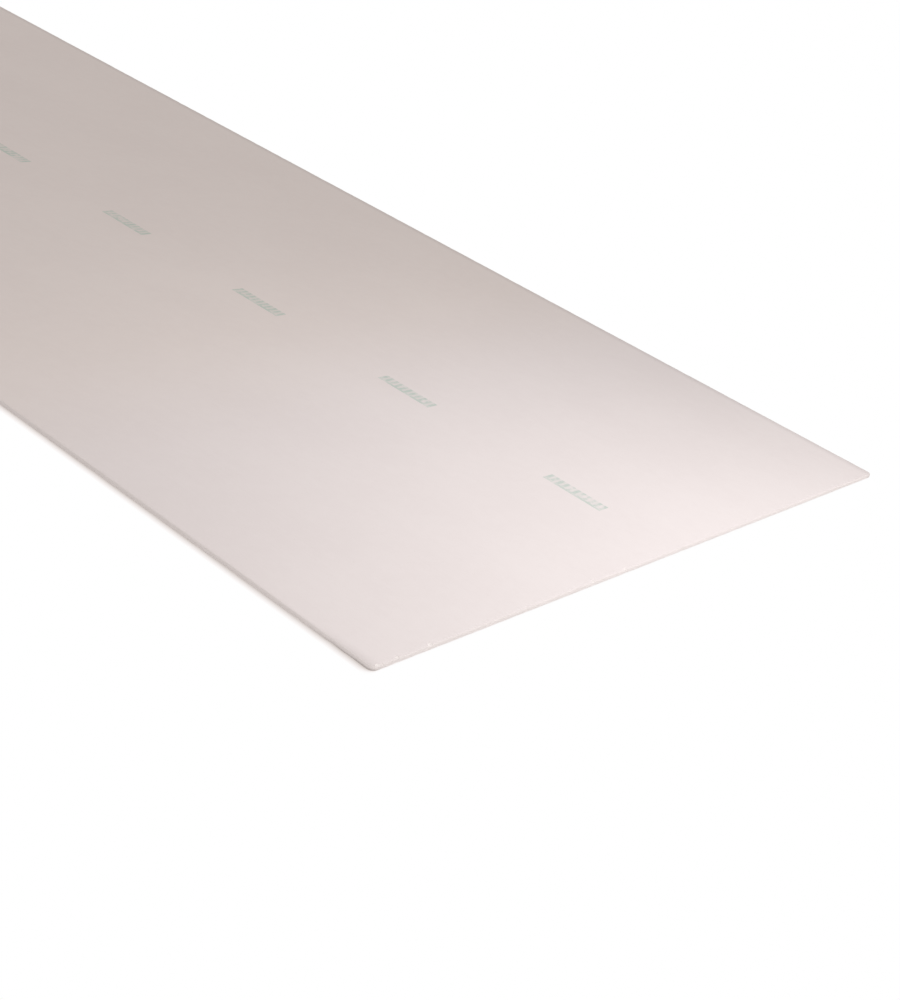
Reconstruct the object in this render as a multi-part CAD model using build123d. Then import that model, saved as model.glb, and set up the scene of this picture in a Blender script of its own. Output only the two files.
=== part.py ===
from build123d import *
import os
from math import sqrt

os.makedirs("parts", exist_ok=True)

# One full sheet of thin rigid insulation board, lying flat on its back face, in millimetres.
# The origin is the middle of the back face. +X runs along the sheet to its near end,
# +Y across the sheet, and +Z out of its smooth face.

# Sheet
board_length = 2440.0
board_width = 1220.0
board_thickness = 6.0
corner_radius = 8.5

# Arrises, eased more round the smooth face than round the back
face_arris_radius = 2.5
back_arris_radius = 1.0

# Chips out of the upper arris of the near end. Each is a shallow scoop, so long, reaching so far onto
# the smooth face and dropping so far down the edge, all measured from the sharp corner line that the
# face and the edge would make. The share says how far across the board it lies, from the long edge
# at -Y, and the first two lie where the rounded corner begins.
end_chips = [
    {"width_share": 0.0082, "length": 10.0, "reach": 4.2, "drop": 1.6},
    {"width_share": 0.0136, "length": 4.0, "reach": 2.4, "drop": 2.0},
    {"width_share": 0.0350, "length": 5.5, "reach": 5.0, "drop": 1.3},
    {"width_share": 0.0815, "length": 9.0, "reach": 5.5, "drop": 1.7},
    {"width_share": 0.3457, "length": 6.5, "reach": 4.8, "drop": 1.4},
    {"width_share": 0.4057, "length": 5.5, "reach": 4.8, "drop": 1.2},
]


# Full sheet with rounded corners and eased arrises
def sheet():
    outline = RectangleRounded(board_length, board_width, corner_radius)
    slab = extrude(outline, board_thickness)
    slab = fillet(slab.faces().sort_by(Axis.Z)[-1].edges(), face_arris_radius)
    return fillet(slab.faces().sort_by(Axis.Z)[0].edges(), back_arris_radius)


# Ball that scoops a chip out of the near end. It passes through the chip's inner end on the face,
# its lowest point on the edge and both its ends on the corner line, which fixes centre and radius.
def scoop(chip):
    half_length = chip["length"] / 2
    outward = (half_length**2 - chip["reach"] ** 2) / (2 * chip["reach"])
    upward = (half_length**2 - chip["drop"] ** 2) / (2 * chip["drop"])
    radius = sqrt(outward**2 + upward**2 + half_length**2)
    centre = Vector(
        board_length / 2 + outward,
        board_width * (chip["width_share"] - 0.5),
        board_thickness + upward,
    )
    return Pos(centre) * Sphere(radius)


insulation_board = sheet()
for end_chip in end_chips:
    insulation_board -= scoop(end_chip)

export_step(insulation_board, "parts/insulation_board.step")
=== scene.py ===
from math import pi, radians, sqrt

import bpy
from mathutils import Matrix, Vector


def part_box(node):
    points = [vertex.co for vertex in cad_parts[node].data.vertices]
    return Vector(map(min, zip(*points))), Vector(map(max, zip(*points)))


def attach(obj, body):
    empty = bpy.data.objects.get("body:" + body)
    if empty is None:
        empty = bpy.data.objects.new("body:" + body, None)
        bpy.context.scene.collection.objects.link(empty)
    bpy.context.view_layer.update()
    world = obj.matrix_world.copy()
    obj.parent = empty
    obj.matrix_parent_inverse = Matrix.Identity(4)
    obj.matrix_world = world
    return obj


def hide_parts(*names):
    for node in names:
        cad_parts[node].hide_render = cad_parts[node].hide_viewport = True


# Lengths are in metres, angles in degrees
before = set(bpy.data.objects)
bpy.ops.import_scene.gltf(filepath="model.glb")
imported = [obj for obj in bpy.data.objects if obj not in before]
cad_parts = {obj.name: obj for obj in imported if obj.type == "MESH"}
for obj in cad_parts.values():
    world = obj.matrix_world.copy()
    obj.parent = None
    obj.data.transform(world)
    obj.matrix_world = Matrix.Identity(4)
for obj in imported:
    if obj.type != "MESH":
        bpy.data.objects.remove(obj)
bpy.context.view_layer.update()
low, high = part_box("insulation_board")
boardLength, boardWidth, boardThickness = high - low
print("frame loaded, board", round(boardLength, 3), round(boardWidth, 3), round(boardThickness, 4))

tiny = 0.00002      # tolerance when edges and faces are picked by place


def deselectAll():
    for item in bpy.context.selected_objects:
        item.select_set(False)
    bpy.context.view_layer.objects.active = None


def makeActive(item):
    deselectAll()
    item.select_set(True)
    bpy.context.view_layer.objects.active = item


# Selects, in edit mode, the edges that the test keeps; the test gets both ends of an edge
def pickEdges(item, test):
    bpy.ops.mesh.select_mode(type="EDGE")
    bpy.ops.mesh.select_all(action="DESELECT")
    bpy.ops.object.mode_set(mode="OBJECT")
    points = item.data.vertices
    for edge in item.data.edges:
        edge.select = test(points[edge.vertices[0]].co, points[edge.vertices[1]].co)
    bpy.ops.object.mode_set(mode="EDIT")


# The same for faces; the test gets a face
def pickFaces(item, test):
    bpy.ops.mesh.select_mode(type="FACE")
    bpy.ops.mesh.select_all(action="DESELECT")
    bpy.ops.object.mode_set(mode="OBJECT")
    for face in item.data.polygons:
        face.select = test(face)
    bpy.ops.object.mode_set(mode="EDIT")


sheet = {
    "cornerRadius": 0.0085,
    "cornerSteps": 12,
    "faceArris": {"radius": 0.0025, "steps": 6},
    "backArris": {"radius": 0.0010, "steps": 3},
    "edgeRows": 2,              # cuts across the flat of an edge
    "rimCuts": ((21, 21), (30, 30)),        # cuts along each end and each long edge, in two passes
    "bands": (0.0008, 0.0012, 0.0018, 0.0012),      # insets of the faces beside the arrises
    "fields": (12, 6),          # parts that the rest of a face is cut into, along and across
    "smoothAngle": 40,
}


# Whether an edge of the mesh runs level along the rim that the axis points at, on its arris or below
def isAlongRim(a, b, axis):
    radius = sheet["faceArris"]["radius"]
    isLevel = abs(a[axis] - b[axis]) < tiny and abs(a.z - b.z) < tiny
    isLong = abs(a[1 - axis] - b[1 - axis]) > radius
    return isLevel and isLong and (high - low)[axis] / 2 - abs(a[axis]) < radius + tiny


# Whether a face lies flat at that height and further than the margin from every edge of the board
def isInner(face, z, margin):
    toEnd = boardLength / 2 - abs(face.center.x)
    toSide = boardWidth / 2 - abs(face.center.y)
    return abs(face.center.z - z) < tiny and min(toEnd, toSide) > margin


# Puts a face in one piece again, with bands beside its arris and the rest cut into even fields
def refineFace(item, z, arris):
    pickFaces(item, lambda face: abs(face.center.z - z) < tiny)
    bpy.ops.mesh.dissolve_faces()
    for width in sheet["bands"]:
        bpy.ops.mesh.inset(thickness=width, use_even_offset=True)
    margin = arris["radius"] + sum(sheet["bands"])
    for axis, parts in enumerate(sheet["fields"]):
        normal = Vector((0, 0, 0))
        normal[axis] = 1
        for part in range(1, parts):
            pickFaces(item, lambda face: isInner(face, z, margin))
            bpy.ops.mesh.bisect(plane_co=low + (high - low) * (part / parts), plane_no=normal)
    pickFaces(item, lambda face: isInner(face, z, margin))
    bpy.ops.mesh.quads_convert_to_tris(quad_method="BEAUTY", ngon_method="BEAUTY")


def makeSheet():
    deselectAll()
    bpy.ops.mesh.primitive_cube_add(size=1, location=(low + high) / 2, scale=high - low)
    item = bpy.context.object
    item.name = "boardSheet"
    bpy.ops.object.transform_apply(location=True, rotation=False, scale=True)
    bpy.ops.object.mode_set(mode="EDIT")
    # plan corners
    pickEdges(item, lambda a, b: abs(a.z - b.z) > boardThickness / 2)
    bpy.ops.mesh.bevel(offset=sheet["cornerRadius"], segments=sheet["cornerSteps"], affect="EDGES")
    # arrises, then rows across the flat between them
    faces = ((high.z, sheet["faceArris"]), (low.z, sheet["backArris"]))
    for z, arris in faces:
        pickEdges(item, lambda a, b: abs(a.z - z) < tiny and abs(b.z - z) < tiny)
        bpy.ops.mesh.bevel(offset=arris["radius"], segments=arris["steps"], affect="EDGES")
    pickEdges(item, lambda a, b: abs(a.z - b.z) > boardThickness / 3)
    bpy.ops.mesh.subdivide(number_cuts=sheet["edgeRows"])
    # a fine pitch along the ends, then along the long edges
    for axis, passes in enumerate(sheet["rimCuts"]):
        for cuts in passes:
            pickEdges(item, lambda a, b: isAlongRim(a, b, axis))
            bpy.ops.mesh.subdivide(number_cuts=cuts)
    for z, arris in faces:
        refineFace(item, z, arris)
    bpy.ops.mesh.select_all(action="SELECT")
    bpy.ops.mesh.normals_make_consistent(inside=False)
    bpy.ops.object.mode_set(mode="OBJECT")
    return item


# Wear pressed into the edges, always inwards
edgeWear = {
    "band": 0.0045,             # how far from an edge it reaches on a face
    "detail": 3,
    "patterns": [
        {"name": "sawnRuffle", "size": 0.0030, "depth": 0.00012, "contrast": 1.0, "brightness": 1.0},
        {"name": "bruises", "size": 0.0200, "depth": 0.00060, "contrast": 3.0, "brightness": 0.55},
    ],
}


# Groups the points that may wear: the edges, the arrises and a narrow band of both faces
def groupWornPoints(item):
    group = item.vertex_groups.new(name="worn")
    for point in item.data.vertices:
        inside = min(boardLength / 2 - abs(point.co.x), boardWidth / 2 - abs(point.co.y))
        weight = 1 - inside / edgeWear["band"]
        if weight > 0:
            group.add([point.index], weight, "REPLACE")
    return group


def wearEdges(item):
    makeActive(item)
    group = groupWornPoints(item)
    for values in edgeWear["patterns"]:
        pattern = bpy.data.textures.new(values["name"], "CLOUDS")
        pattern.noise_scale = values["size"]
        pattern.noise_depth = edgeWear["detail"]
        pattern.contrast = values["contrast"]
        pattern.intensity = values["brightness"]
        pattern.use_clamp = True
        press = item.modifiers.new(values["name"], "DISPLACE")
        press.texture = pattern
        press.texture_coords = "LOCAL"
        press.vertex_group = group.name
        press.mid_level = 0
        press.strength = -values["depth"]
        bpy.ops.object.modifier_apply(modifier=press.name)


# Chips out of the near end's upper arris, in the same places as on the solid. Width shares count
# from the edge at -Y; length is along the corner line, reach onto the face, drop down the edge.
endChips = {
    "chips": [
        {"widthShare": 0.0082, "length": 0.0100, "reach": 0.0042, "drop": 0.0016},
        {"widthShare": 0.0136, "length": 0.0040, "reach": 0.0024, "drop": 0.0020},
        {"widthShare": 0.0350, "length": 0.0055, "reach": 0.0050, "drop": 0.0013},
        {"widthShare": 0.0815, "length": 0.0090, "reach": 0.0055, "drop": 0.0017},
        {"widthShare": 0.3457, "length": 0.0065, "reach": 0.0048, "drop": 0.0014},
        {"widthShare": 0.4057, "length": 0.0055, "reach": 0.0048, "drop": 0.0012},
    ],
    # roughness of the broken surface, coarse then fine, in shares of the chip's length
    "ruffles": [
        {"name": "flakes", "sizeShare": 0.32, "depthShare": 0.060},
        {"name": "crumbs", "sizeShare": 0.12, "depthShare": 0.024},
    ],
    "detail": 2,
    "ballSteps": 6,             # fine enough to carry the crumbs
}


# A rough ball through the chip's inner end, its lowest point and its two ends; what it takes out
# of the sheet is the chip
def makeChipBall(chip, name, material):
    halfLength = chip["length"] / 2
    outward = (halfLength ** 2 - chip["reach"] ** 2) / (2 * chip["reach"])
    upward = (halfLength ** 2 - chip["drop"] ** 2) / (2 * chip["drop"])
    radius = sqrt(outward ** 2 + upward ** 2 + halfLength ** 2)
    centre = (high.x + outward, low.y + boardWidth * chip["widthShare"], high.z + upward)
    deselectAll()
    bpy.ops.mesh.primitive_ico_sphere_add(
        subdivisions=endChips["ballSteps"], radius=radius, location=centre)
    ball = bpy.context.object
    ball.name = name
    bpy.ops.object.transform_apply(location=True, rotation=False, scale=False)
    for values in endChips["ruffles"]:
        pattern = bpy.data.textures.new(name + values["name"], "CLOUDS")
        pattern.noise_scale = values["sizeShare"] * chip["length"]
        pattern.noise_depth = endChips["detail"]
        ruffle = ball.modifiers.new(values["name"], "DISPLACE")
        ruffle.texture = pattern
        ruffle.texture_coords = "LOCAL"
        ruffle.strength = values["depthShare"] * chip["length"]
        bpy.ops.object.modifier_apply(modifier=ruffle.name)
    ball.data.materials.append(material)
    return ball


def cutChips(item, material):
    for number, chip in enumerate(endChips["chips"]):
        ball = makeChipBall(chip, f"endChip{number}", material)
        makeActive(item)
        cut = item.modifiers.new(ball.name, "BOOLEAN")
        cut.operation = "DIFFERENCE"
        cut.solver = "MANIFOLD"
        cut.material_mode = "TRANSFER"
        cut.object = ball
        bpy.ops.object.modifier_apply(modifier=cut.name)
        bpy.data.objects.remove(ball)
    # the rim of every chip is a crisp line
    broken = item.material_slots.find(material.name)
    bpy.ops.object.mode_set(mode="EDIT")
    pickFaces(item, lambda face: face.material_index == broken)
    bpy.ops.mesh.region_to_loop()
    bpy.ops.mesh.mark_sharp()
    bpy.ops.object.mode_set(mode="OBJECT")


# Shader maths: wraps a socket so that patterns are written as plain sums
class Wire:
    def __init__(self, tree, socket=None):
        self.tree = tree
        self.socket = socket

    # A new node with its settings, the values or links of its sockets, and the output that is wanted
    def add(self, kind, settings=None, inputs=None, output=0):
        node = self.tree.nodes.new(kind)
        for name, value in (settings or {}).items():
            setattr(node, name, value)
        for name, value in (inputs or {}).items():
            if isinstance(value, Wire):
                self.tree.links.new(value.socket, node.inputs[name])
            else:
                node.inputs[name].default_value = value
        return Wire(self.tree, node.outputs[output] if len(node.outputs) else None)

    # Another output of the same node
    def output(self, name):
        return Wire(self.tree, self.socket.node.outputs[name])

    # x, y and z of a place or a direction
    def axes(self):
        x = self.add("ShaderNodeSeparateXYZ", inputs={0: self})
        return x, x.output("Y"), x.output("Z")

    def math(self, operation, *values):
        return self.add("ShaderNodeMath", {"operation": operation}, dict(enumerate(values)))

    def __add__(self, other):
        return self.math("ADD", self, other)

    def __radd__(self, other):
        return self.math("ADD", other, self)

    def __sub__(self, other):
        return self.math("SUBTRACT", self, other)

    def __rsub__(self, other):
        return self.math("SUBTRACT", other, self)

    def __mul__(self, other):
        return self.math("MULTIPLY", self, other)

    def __rmul__(self, other):
        return self.math("MULTIPLY", other, self)

    def __truediv__(self, other):
        return self.math("DIVIDE", self, other)

    def __rtruediv__(self, other):
        return self.math("DIVIDE", other, self)

    def __lt__(self, other):
        return self.math("LESS_THAN", self, other)

    # the reflected form of the one above
    def __gt__(self, other):
        return self.math("GREATER_THAN", self, other)


def absolute(value):
    return value.math("ABSOLUTE", value)


def larger(first, second):
    return first.math("MAXIMUM", first, second)


# Waves along one axis, from -1 to 1
def wave(value, pitch):
    angle = value * (2 * pi / pitch)
    return angle.math("SINE", angle)


# Eases from 0 to 1 between two values
def step(value, start, end):
    return value.add("ShaderNodeMapRange", {"interpolation_type": "SMOOTHSTEP"},
                     {"Value": value, "From Min": start, "From Max": end})


# Sockets 6 and 7 and output 2 are the colour ones
def blend(share, first, second):
    return share.add("ShaderNodeMix", {"data_type": "RGBA"}, {0: share, 6: first, 7: second}, output=2)


# A noise whose features are so long along x, y and z
def noise(place, size, detail, rough=0.5, turn=0.0):
    turned = place.add("ShaderNodeMapping", inputs={"Vector": place, "Rotation": (0, 0, radians(turn))})
    scaled = place.add("ShaderNodeVectorMath", {"operation": "DIVIDE"}, {0: turned, 1: size})
    return place.add("ShaderNodeTexNoise", inputs={
        "Vector": scaled, "Scale": 1.0, "Detail": detail, "Roughness": rough,
    })


# Small round spots, of which only a share is kept; the core is the part of the radius that is solid
def spots(place, spacing, radius, kept, core):
    cells = place.add("ShaderNodeTexVoronoi", inputs={"Vector": place, "Scale": 1 / spacing})
    chance = place.add("ShaderNodeSeparateColor", inputs={0: cells.output("Color")})
    inside = 1 - step(cells, radius / spacing * core, radius / spacing)
    return inside * (chance < kept)


def newMaterial(name):
    material = bpy.data.materials.new(name)
    material.use_nodes = True
    material.node_tree.nodes.clear()
    return material, Wire(material.node_tree)


# The board's smooth face: warm off-white, finely sanded along its length
faceLook = {
    "flatBetween": (0.80, 0.97),            # how level a surface is where it turns into face or back
    "colour": (0.886, 0.823, 0.828, 1),
    "dull": (0.864, 0.799, 0.804, 1),
    "plainTint": (1, 1, 1, 1),
    # painted shade tint: the face is warmer towards the far end, away from the near-end lamp
    "shadeWarmTint": (1.004, 0.989, 0.961, 1),
    "shadeWarmBetween": (0.42, 0.77),            # from the near end, where the painted shade tint makes the board that much warmer
    # broad tone changes left by pressing and drying, then mottles, then sanding streaks
    "clouds": {"size": (0.22, 0.22, 0.22), "detail": 3.0},
    "mottles": {"size": (0.018, 0.018, 0.018), "detail": 4.0, "rough": 0.6},
    "streaks": {"size": (0.5, 0.0040, 1.0), "detail": 3.0, "rough": 0.6},
    "toneShares": {"clouds": 0.50, "mottles": 0.32, "streaks": 0.18},
    "toneBetween": (0.35, 0.65),
    "roughness": 0.80,
    "roughnessSpread": 0.10,
}
# Sparse fibres that lie in the surface
fleckLook = {
    "size": (0.0040, 0.0007, 0.0010),
    "turns": (18, -37, 71),     # from the board's length
    "between": (0.69, 0.75),    # a higher start leaves fewer of them
    "colour": (0.79, 0.70, 0.66, 1),
    "cover": 0.35,
}
speckLook = {
    "spots": {"spacing": 0.014, "radius": 0.00045, "kept": 0.30, "core": 0.6},
    "colour": (0.52, 0.45, 0.40, 1),
    "cover": 0.55,
}


def fibreFlecks(spot):
    flecks = None
    for turn in fleckLook["turns"]:
        some = step(noise(spot, fleckLook["size"], 1.0, turn=turn), *fleckLook["between"])
        flecks = some if flecks is None else larger(flecks, some)
    return flecks


def faceColour(spot, x, tone, flecks):
    colour = blend(tone, faceLook["dull"], faceLook["colour"])
    # painted shade tint, warmer with distance from the near-end lamp
    shadeTint = blend(step(high.x - x, *faceLook["shadeWarmBetween"]), faceLook["plainTint"], faceLook["shadeWarmTint"])
    colour = spot.add("ShaderNodeVectorMath", {"operation": "MULTIPLY"}, {0: colour, 1: shadeTint})
    colour = blend(flecks * fleckLook["cover"], colour, fleckLook["colour"])
    specks = spots(spot, **speckLook["spots"])
    return blend(specks * speckLook["cover"], colour, speckLook["colour"])


# Faint strip of even ticks, printed over and over along the middle of the face
tickLook = {
    "first": 0.1684,            # middle of the first strip, from the near end
    "pitch": 0.319,
    "spacing": 0.0095,
    "halfCount": 5,             # ticks each side of the middle one
    "width": 0.0056,
    "baseline": -0.0090,        # middle of the line under the ticks, from the board's centre line
    "lineWidth": 0.0052,
    "top": 0.0115,
    "bleed": 0.0014,            # how softly a stroke ends
    "ground": 0.40,             # share of the ink that lies between the ticks
    "ink": (0.385, 0.562, 0.490, 1),
    "cover": 0.54,
    "patches": {"size": (0.012, 0.012, 0.012), "detail": 4.0, "rough": 0.7},        # uneven inking
    "patchBetween": (0.25, 0.60),
}


# Share of ink at a distance from the middle of a stroke so wide
def stroke(distance, width):
    return 1 - step(distance, (width - tickLook["bleed"]) / 2, (width + tickLook["bleed"]) / 2)


def tickPrint(spot, x, y):
    # distance from the middle of the nearest strip, counted in ticks
    along = (high.x - tickLook["first"] - x) / tickLook["pitch"] + 0.5
    fromMiddle = (along.math("FRACT", along) - 0.5) * (tickLook["pitch"] / tickLook["spacing"])
    nearest = fromMiddle.math("ROUND", fromMiddle)
    ticks = stroke(absolute(fromMiddle - nearest) * tickLook["spacing"], tickLook["width"])
    line = stroke(absolute(y - tickLook["baseline"]), tickLook["lineWidth"])
    # inside the strip's own outline
    halfLength = tickLook["halfCount"] * tickLook["spacing"] + tickLook["width"] / 2
    inLength = stroke(absolute(fromMiddle) * tickLook["spacing"], 2 * halfLength)
    foot = tickLook["baseline"] - tickLook["lineWidth"] / 2
    inHeight = stroke(absolute(y - (foot + tickLook["top"]) / 2), tickLook["top"] - foot)
    strokes = larger(larger(ticks, line), tickLook["ground"]) * inLength * inHeight
    inking = step(noise(spot, **tickLook["patches"]), *tickLook["patchBetween"])
    return strokes * inking * tickLook["cover"]


# Painted shade: darker along the foot of the long edge at -Y and round the near corner, on the face
# beside that edge, and in the margin of the other long edge
paintedShadeLook = {
    "colour": (0.22, 0.19, 0.175, 1),
    "patches": {"size": (0.004, 0.004, 0.004), "detail": 2.0},
    "patchLeast": 0.6,
    "patchSpread": 0.8,
    "fadeAlong": (0.010, 0.115),            # distances from the corner, along the long edge
    "fadeAcross": (-0.004, 0.024),          # and across the near end
    "footHeight": 0.0042,       # how far up the edge it comes
    "footCover": 0.56,
    "faceShadeWidth": 0.018,       # a faint painted shade on the face above it
    "faceShadeCover": 0.15,
    "marginWidth": 0.022,
    "marginCover": 0.18,
}


# Share of the painted shade: at the foot, on the face beside it, and along the far margin
def paintedShade(spot, x, y, z, onFace):
    along = 1 - step(high.x - x, *paintedShadeLook["fadeAlong"])
    across = 1 - step(y - low.y, *paintedShadeLook["fadeAcross"])
    foot = (1 - step(z, 0.0, paintedShadeLook["footHeight"])) * across * paintedShadeLook["footCover"]
    faceShade = (1 - step(y - low.y, 0.0, paintedShadeLook["faceShadeWidth"])) * onFace * paintedShadeLook["faceShadeCover"]
    margin = (1 - step(high.y - y, 0.0, paintedShadeLook["marginWidth"])) * paintedShadeLook["marginCover"]
    patches = paintedShadeLook["patchLeast"] + noise(spot, **paintedShadeLook["patches"]) * paintedShadeLook["patchSpread"]
    return ((foot + faceShade) * along + margin) * patches


edgeLook = {
    "colour": (0.885, 0.826, 0.824, 1),
    "lines": {"size": (0.030, 0.030, 0.0011), "detail": 3.0, "rough": 0.65},        # left by sawing
    "lineBetween": (0.45, 0.75),
    "lineColour": (0.78, 0.715, 0.695, 1),
    "lineCover": 0.35,
    "height": 0.00015,
    "extraRoughness": 0.1,
}
backLook = {
    "colour": (0.80, 0.725, 0.700, 1),
    "cover": 0.30,
    "dullCover": 0.35,          # more of it where the tone is dull
    "clothCover": 0.06,
    "clothPitch": 0.0022,       # imprint of the press cloth
    "height": 0.00008,
}
grainLook = {
    "grain": {"size": (0.0009, 0.0009, 0.0009), "detail": 3.0, "rough": 0.6},
    "pits": {"spacing": 0.0045, "radius": 0.0004, "kept": 0.6, "core": 0.6},
    "height": 0.00006,
    "heightShares": {"grain": 0.5, "streaks": 0.3, "flecks": 0.15, "pits": 0.8},    # pits go down
}
dryLook = {"specular": 0.25}


# Dry and matt, as the whole board is
def finishMaterial(wire, colour, roughness, relief):
    bump = wire.add("ShaderNodeBump", inputs={"Strength": 1.0, "Distance": 1.0, "Height": relief})
    shader = wire.add("ShaderNodeBsdfPrincipled", inputs={
        "Base Color": colour, "Roughness": roughness, "Normal": bump,
        "Specular IOR Level": dryLook["specular"],
    })
    wire.add("ShaderNodeOutputMaterial", inputs={"Surface": shader})


def boardMaterial():
    material, wire = newMaterial("pressedBoard")
    spot = wire.add("ShaderNodeTexCoord", output="Object")
    x, y, z = spot.axes()
    facing = spot.output("Normal").axes()[2]
    onFace = step(facing, *faceLook["flatBetween"])
    onBack = step(0 - facing, *faceLook["flatBetween"])
    onEdge = 1 - onFace - onBack

    clouds = noise(spot, **faceLook["clouds"])
    mottles = noise(spot, **faceLook["mottles"])
    streaks = noise(spot, **faceLook["streaks"])
    shares = faceLook["toneShares"]
    tone = clouds * shares["clouds"] + mottles * shares["mottles"] + streaks * shares["streaks"]
    tone = step(tone, *faceLook["toneBetween"])
    flecks = fibreFlecks(spot)
    plain = faceColour(spot, x, tone, flecks)
    printed = blend(tickPrint(spot, x, y) * onFace, plain, tickLook["ink"])

    cloth = wave(x, backLook["clothPitch"]) * wave(y, backLook["clothPitch"])
    backCover = cloth * backLook["clothCover"] + (1 - tone) * backLook["dullCover"] + backLook["cover"]
    back = blend(backCover, plain, backLook["colour"])

    lines = noise(spot, **edgeLook["lines"])
    lineCover = step(lines, *edgeLook["lineBetween"]) * edgeLook["lineCover"]
    edge = blend(lineCover, edgeLook["colour"], edgeLook["lineColour"])

    colour = blend(onEdge, blend(onBack, printed, back), edge)
    # painted shade laid over the colour, except on the back
    colour = blend(paintedShade(spot, x, y, z, onFace) * (1 - onBack), colour, paintedShadeLook["colour"])
    roughness = faceLook["roughness"] + (mottles + streaks - 1.0) * faceLook["roughnessSpread"]
    roughness = roughness + onEdge * edgeLook["extraRoughness"]

    grain = noise(spot, **grainLook["grain"])
    pits = spots(spot, **grainLook["pits"])
    shares = grainLook["heightShares"]
    relief = grain * shares["grain"] + streaks * shares["streaks"] + flecks * shares["flecks"]
    relief = (relief - pits * shares["pits"]) * grainLook["height"]
    relief = relief + onBack * cloth * backLook["height"] + onEdge * (lines + grain) * edgeLook["height"]
    finishMaterial(wire, colour, roughness, relief)
    return material


# Fresh surface inside a chip, whiter than the face: partly the fresh break, partly a painted highlight
brokenLook = {
    # lighter than the fresh break alone, as a painted highlight
    "colour": (0.96, 0.92, 0.91, 1),
    "crumbs": {"size": (0.0011, 0.0011, 0.0011), "detail": 4.0, "rough": 0.7},
    "crumbBetween": (0.35, 0.65),
    "crumbHeight": 0.00024,
    "roughness": 0.95,
}


def brokenMaterial():
    material, wire = newMaterial("brokenCore")
    spot = wire.add("ShaderNodeTexCoord", output="Object")
    crumbs = noise(spot, **brokenLook["crumbs"])
    colour = blend(step(crumbs, *brokenLook["crumbBetween"]), edgeLook["colour"], brokenLook["colour"])
    finishMaterial(wire, colour, brokenLook["roughness"], crumbs * brokenLook["crumbHeight"])
    return material


brokenCore = brokenMaterial()
boardSheet = makeSheet()
boardSheet.data.materials.append(boardMaterial())
wearEdges(boardSheet)
print("sheet modelled and edges worn,", len(boardSheet.data.vertices), "points")
cutChips(boardSheet, brokenCore)
makeActive(boardSheet)
bpy.ops.object.shade_smooth_by_angle(angle=radians(sheet["smoothAngle"]))
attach(boardSheet, "root")
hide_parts("insulation_board")
print("chips cut and board finished,", len(boardSheet.data.polygons), "faces")


# Floor: plain pale grey to the light, and to the camera white with the board's own soft shadow
floorLook = {
    "size": 120,
    "drop": 0.0002,             # clear of the board's back face
    "colour": (0.93, 0.93, 0.93, 1),
    "seen": (1, 1, 1, 1),
    "bounce": (1.0, 0.957, 0.950, 1),       # white with the board's warmth on it, close to the board
    "bounceUpTo": 0.12,         # share of the shadow at which the floor is that warm
    "shadow": (0.66, 0.60, 0.57, 1),        # at the board's foot, on the side away from the light
    "shadowReach": 0.012,
    "shadowSamples": 16,
    "lightFrom": (0.65, 0.65, -0.55),       # added to straight up; the shadow falls on the far side
    "covered": (0.10, 0.56),    # how hidden the floor is where the shadow ends, and at the foot
}


def makeFloor():
    deselectAll()
    bpy.ops.mesh.primitive_plane_add(size=floorLook["size"], location=(0, 0, low.z - floorLook["drop"]))
    item = bpy.context.object
    item.name = "studioFloor"
    material, wire = newMaterial("floorWhite")
    plain = wire.add("ShaderNodeBsdfDiffuse", inputs={"Color": floorLook["colour"]})
    upright = wire.add("ShaderNodeTexCoord", output="Normal")
    leaning = wire.add("ShaderNodeVectorMath", {"operation": "ADD"}, {0: upright, 1: floorLook["lightFrom"]})
    openness = wire.add("ShaderNodeAmbientOcclusion", {"samples": floorLook["shadowSamples"]}, {
        "Distance": floorLook["shadowReach"],
        "Normal": wire.add("ShaderNodeVectorMath", {"operation": "NORMALIZE"}, {0: leaning}),
    }, output="AO")
    ends = floorLook["covered"]
    covered = wire.add("ShaderNodeMapRange", inputs={
        "Value": 1 - openness, "From Min": ends[0], "From Max": ends[1],
    })
    warmed = blend(step(covered, 0.0, floorLook["bounceUpTo"]), floorLook["seen"], floorLook["bounce"])
    seen = wire.add("ShaderNodeEmission", inputs={"Color": blend(covered, warmed, floorLook["shadow"])})
    fromCamera = wire.add("ShaderNodeLightPath")
    surface = wire.add("ShaderNodeMixShader", inputs={0: fromCamera, 1: plain, 2: seen})
    wire.add("ShaderNodeOutputMaterial", inputs={"Surface": surface})
    item.data.materials.append(material)


makeFloor()
print("floor laid")

skyLook = {
    "seen": (1, 1, 1, 1),
    "fill": (1.0, 0.96, 0.92, 1),
    "fillStrength": 0.585,
}


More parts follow.
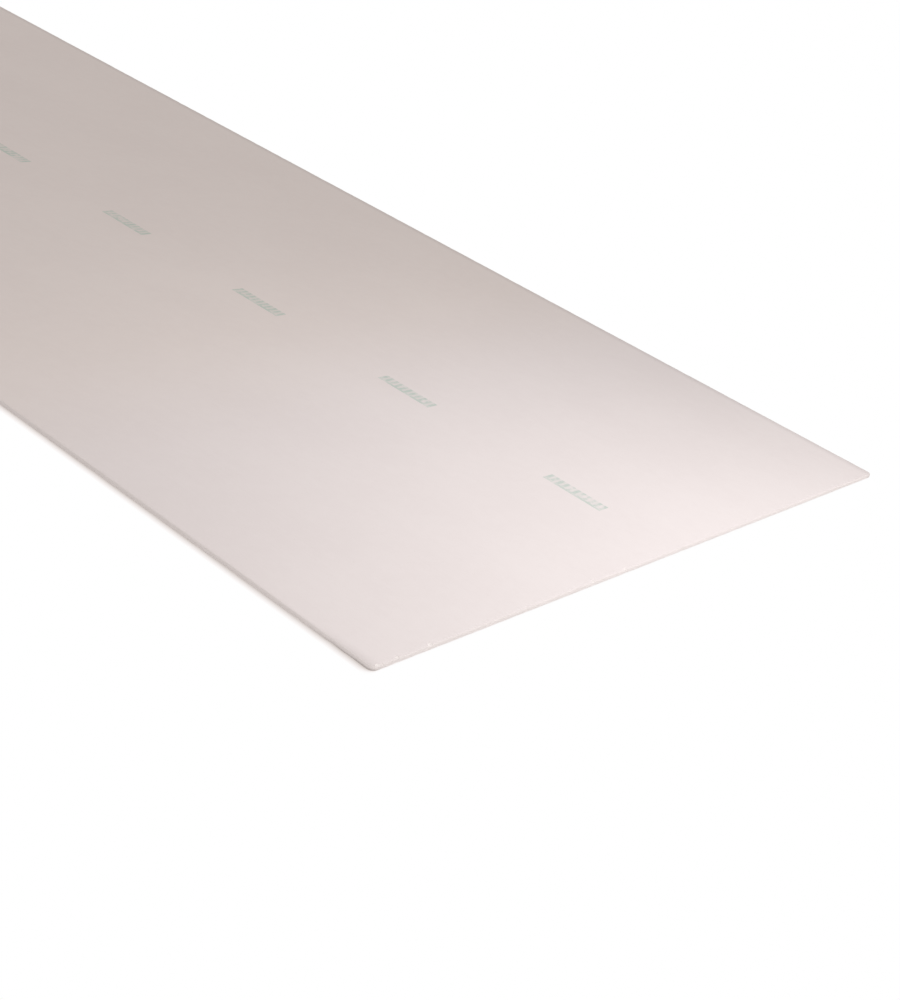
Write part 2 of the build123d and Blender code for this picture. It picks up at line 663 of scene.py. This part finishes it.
# White to the camera and in reflections, and a soft warm fill on everything else
def makeSky():
    world = bpy.data.worlds.new("studioSky")
    world.use_nodes = True
    world.node_tree.nodes.clear()
    bpy.context.scene.world = world
    wire = Wire(world.node_tree)
    fromCamera = wire.add("ShaderNodeLightPath")
    mirrored = larger(fromCamera.output("Is Glossy Ray"), fromCamera.output("Is Transmission Ray"))
    fill = wire.add("ShaderNodeBackground", inputs={
        "Color": skyLook["fill"], "Strength": skyLook["fillStrength"],
    })
    white = wire.add("ShaderNodeBackground", inputs={"Color": skyLook["seen"], "Strength": 1.0})
    surface = wire.add("ShaderNodeMixShader", inputs={0: larger(fromCamera, mirrored), 1: fill, 2: white})
    wire.add("ShaderNodeOutputWorld", inputs={"Surface": surface})


makeSky()

lamps = {
    "nearEndSoftbox": {
        "place": (2.05, 0.05, 0.85),
        "aim": (2.195, -0.09, 0.0),
        "size": (2.0, 2.0),
        "power": 11.7,
    },
    "longEdgeSoftbox": {
        "place": (0.9, -3.2, 0.9),
        "aim": (0.9, -0.6, 0.0),
        "size": (2.4, 1.2),
        "power": 1.9,
    },
}


def makeLamps():
    for name, values in lamps.items():
        data = bpy.data.lights.new(name, "AREA")
        data.shape = "RECTANGLE"
        data.size, data.size_y = values["size"]
        data.energy = values["power"]
        lamp = bpy.data.objects.new(name, data)
        bpy.context.scene.collection.objects.link(lamp)
        lamp.visible_camera = False
        lamp.location = values["place"]
        towards = Vector(values["aim"]) - Vector(values["place"])
        lamp.rotation_euler = towards.to_track_quat("-Z", "Y").to_euler()


makeLamps()
print("sky and lamps lit")

# The camera stands where the photograph was taken from
camera = {
    "place": (2.0902, -1.9222, 0.9552),
    "azimuth": 32.630,
    "elevation": 25.017,
    "roll": 17.193,
    "lens": 62.11,
    "sensor": 36,               # millimetres, the long side of the frame
    "sight": 200,
}


def makeCamera():
    data = bpy.data.cameras.new("photoCamera")
    data.lens = camera["lens"]
    data.sensor_width = camera["sensor"]
    data.clip_end = camera["sight"]
    item = bpy.data.objects.new("photoCamera", data)
    bpy.context.scene.collection.objects.link(item)
    item.matrix_world = (
        Matrix.Translation(camera["place"])
        @ Matrix.Rotation(radians(camera["azimuth"]), 4, "Z")
        @ Matrix.Rotation(radians(90 - camera["elevation"]), 4, "X")
        @ Matrix.Rotation(radians(camera["roll"]), 4, "Z")
    )
    bpy.context.scene.camera = item


makeCamera()
bpy.context.scene.view_settings.view_transform = "Standard"
print("camera placed")
